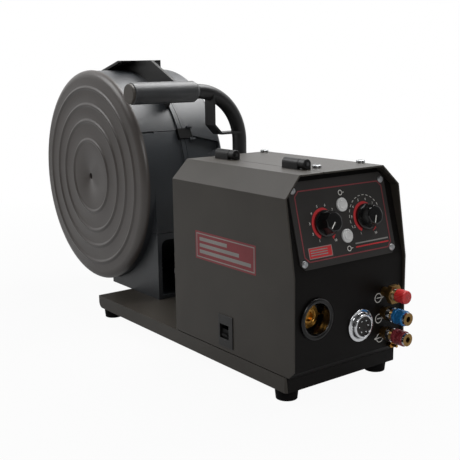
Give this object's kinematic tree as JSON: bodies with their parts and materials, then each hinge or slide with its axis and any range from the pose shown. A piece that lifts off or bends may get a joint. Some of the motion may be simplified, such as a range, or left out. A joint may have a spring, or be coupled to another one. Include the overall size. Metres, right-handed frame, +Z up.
{
  "type": "welding wire feeder",
  "caption": "Portable welding wire feeder: sheet-metal drive cabinet with a sloped control panel and round spool housing with a hinged cover on one base tray, with a side-grip carrying handle.",
  "frame": {"origin": "centre of the overall footprint at floor level", "axes": "+X forward to the control panel, +Z up, -Y to the side with the hinged door and the ringed disc cover"},
  "size_m": [0.757, 0.205, 0.393],
  "materials": {
    "tray_steel": "fine textured dark powder coat",
    "case_steel": "fine textured dark powder coat",
    "panel_steel": "fine textured black powder coat",
    "plate_print": "dark grey printed overlay",
    "knob_black": "gloss black",
    "button_grey": "light grey satin",
    "housing_plastic": "moulded dark grey, soft sheen",
    "disc_plastic": "moulded warm grey, satin",
    "grip_rubber": "soft black",
    "foot_rubber": "matt black",
    "tube_paint": "satin black powder coat",
    "bright_steel": "zinc plated",
    "chrome_ring": "polished",
    "brass_part": "turned",
    "blue_anodised": "blue anodised",
    "red_anodised": "dark red anodised",
    "red_plastic": "red",
    "inner_plastic": "black",
    "board_green": "green laminate",
    "plate_alu": "cast",
    "wire_copper": "copper coated wire",
    "conduit_plastic": "black rigid pipe"
  },
  "bodies": {
    "base": {"base_tray": "tray_steel", "rubber_feet": "foot_rubber", "top_cover": "case_steel", "front_panel": "panel_steel", "rear_panel": "panel_steel", "inner_wall": "case_steel", "control_plate": "plate_print", "plate_screws": "bright_steel", "potentiometers": "inner_plastic", "button_housings": "inner_plastic", "circuit_board": "board_green", "hinge_knuckles": "tube_paint", "hinge_pins": "bright_steel", "case_bolts": "bright_steel", "torch_socket": "inner_plastic", "torch_core": "brass_part", "control_socket": "chrome_ring", "socket_insert": "inner_plastic", "gas_outlet": "brass_part", "water_nipples": "brass_part", "earth_stud": "brass_part", "handle_tube": "tube_paint", "handle_grip": "grip_rubber", "handle_plug": "grip_rubber", "lifting_strap": "tube_paint", "housing_half": "housing_plastic", "housing_hinge": "tube_paint", "spool_axle": "bright_steel", "drive_plate": "plate_alu", "drive_motor": "inner_plastic", "wire_guides": "brass_part", "gas_valve": "brass_part", "guide_pipe": "conduit_plastic", "rear_connectors": "brass_part"},
    "door": {"side_door": "case_steel", "door_knuckles": "tube_paint", "latch_plate": "inner_plastic"},
    "door_latch": {"latch_slider": "inner_plastic"},
    "amp_knob": {"amp_knob": "knob_black"},
    "volt_knob": {"volt_knob": "knob_black"},
    "gas_button": {"gas_button": "button_grey"},
    "inch_button": {"inch_button": "button_grey"},
    "gas_cap": {"gas_cap": "red_plastic"},
    "blue_sleeve": {"blue_sleeve": "blue_anodised"},
    "red_sleeve": {"red_sleeve": "red_anodised"},
    "housing_cover": {"cover_shell": "housing_plastic", "cover_disc": "disc_plastic", "cover_hinge": "tube_paint"},
    "cover_clip": {"cover_latch": "inner_plastic"},
    "spool": {"spool_hub": "inner_plastic", "wire_spool": "inner_plastic", "wire_winding": "wire_copper"},
    "hub_lock": {"hub_lock": "inner_plastic"},
    "motor": {"motor_gear": "bright_steel"},
    "rear_drive_roll": {"rear_drive_roll": "bright_steel"},
    "front_drive_roll": {"front_drive_roll": "bright_steel"},
    "pressure_arm": {"pressure_arm": "plate_alu"},
    "rear_pressure_roll": {"rear_pressure_roll": "bright_steel"},
    "front_pressure_roll": {"front_pressure_roll": "bright_steel"},
    "pressure_knob": {"pressure_knob": "inner_plastic"}
  },
  "joints": [
    {"name": "door_hinge", "type": "hinge", "parent": "base", "child": "door", "pos_m": [0.2085, -0.0245, 0.2705], "axis": [-1, 0, 0], "range_deg": [0, 105]},
    {"name": "door_latch_slide", "type": "slide", "parent": "door", "child": "door_latch", "axis": [0, 0, 1], "range_m": [0, 0.006], "stiffness_N_per_m": 200, "springref_m": -0.003},
    {"name": "amp_knob_turn", "type": "hinge", "parent": "base", "child": "amp_knob", "pos_m": [0.32437, -0.0261, 0.20474], "axis": [0.9659, 0, 0.2587], "range_deg": [-28, 252]},
    {"name": "volt_knob_turn", "type": "hinge", "parent": "base", "child": "volt_knob", "pos_m": [0.32432, 0.0401, 0.20493], "axis": [0.9659, 0, 0.2587], "range_deg": [-40, 240]},
    {"name": "gas_button_press", "type": "slide", "parent": "base", "child": "gas_button", "axis": [-0.9659, 0, -0.2587], "range_m": [0, 0.0025], "stiffness_N_per_m": 600, "springref_m": -0.002},
    {"name": "inch_button_press", "type": "slide", "parent": "base", "child": "inch_button", "axis": [-0.9659, 0, -0.2587], "range_m": [0, 0.0025], "stiffness_N_per_m": 600, "springref_m": -0.002},
    {"name": "gas_cap_pull", "type": "slide", "parent": "base", "child": "gas_cap", "axis": [1, 0, 0], "range_m": [0, 0.012]},
    {"name": "blue_sleeve_slide", "type": "slide", "parent": "base", "child": "blue_sleeve", "axis": [-1, 0, 0], "range_m": [0, 0.004], "stiffness_N_per_m": 500, "springref_m": -0.003},
    {"name": "red_sleeve_slide", "type": "slide", "parent": "base", "child": "red_sleeve", "axis": [-1, 0, 0], "range_m": [0, 0.004], "stiffness_N_per_m": 500, "springref_m": -0.003},
    {"name": "housing_cover_hinge", "type": "hinge", "parent": "base", "child": "housing_cover", "pos_m": [-0.1505, 0.0335, 0.387], "axis": [-1, 0, 0], "range_deg": [0, 90]},
    {"name": "cover_clip_swing", "type": "hinge", "parent": "base", "child": "cover_clip", "pos_m": [-0.04898, 0.0455, 0.28245], "axis": [-0.4226, 0, 0.9063], "range_deg": [0, 100]},
    {"name": "spool_spin", "type": "hinge", "parent": "base", "child": "spool", "pos_m": [-0.2065, 0.0335, 0.209], "axis": [0, 1, 0], "continuous": true},
    {"name": "hub_lock_turn", "type": "hinge", "parent": "spool", "child": "hub_lock", "pos_m": [-0.2065, -0.0245, 0.209], "axis": [0, 1, 0], "range_deg": [0, 60]},
    {"name": "rear_drive_roll_spin", "type": "hinge", "parent": "base", "child": "rear_drive_roll", "pos_m": [0.1885, -0.0495, 0.0802], "axis": [0, 1, 0], "continuous": true},
    {"name": "front_drive_roll_spin", "type": "hinge", "parent": "base", "child": "front_drive_roll", "pos_m": [0.2385, -0.0495, 0.0802], "axis": [0, 1, 0], "continuous": true},
    {"name": "motor_spin", "type": "hinge", "parent": "base", "child": "motor", "pos_m": [0.2135, -0.0335, 0.0727], "axis": [0, 1, 0], "continuous": true},
    {"name": "pressure_arm_lift", "type": "hinge", "parent": "base", "child": "pressure_arm", "pos_m": [0.1585, -0.0625, 0.128], "axis": [0, -1, 0], "range_deg": [0, 60]},
    {"name": "rear_pressure_roll_spin", "type": "hinge", "parent": "pressure_arm", "child": "rear_pressure_roll", "pos_m": [0.1885, -0.0495, 0.1184], "axis": [0, 1, 0], "continuous": true},
    {"name": "front_pressure_roll_spin", "type": "hinge", "parent": "pressure_arm", "child": "front_pressure_roll", "pos_m": [0.2385, -0.0495, 0.1184], "axis": [0, 1, 0], "continuous": true},
    {"name": "pressure_knob_turn", "type": "hinge", "parent": "pressure_arm", "child": "pressure_knob", "pos_m": [0.2645, -0.0625, 0.137], "axis": [0, 0, 1], "range_deg": [-180, 180]}
  ],
  "couplings": [
    {"joint": "rear_drive_roll_spin", "follows": "motor_spin", "ratio": -0.36842},
    {"joint": "front_drive_roll_spin", "follows": "motor_spin", "ratio": -0.36842},
    {"joint": "rear_pressure_roll_spin", "follows": "motor_spin", "ratio": 0.36842},
    {"joint": "front_pressure_roll_spin", "follows": "motor_spin", "ratio": 0.36842}
  ]
}
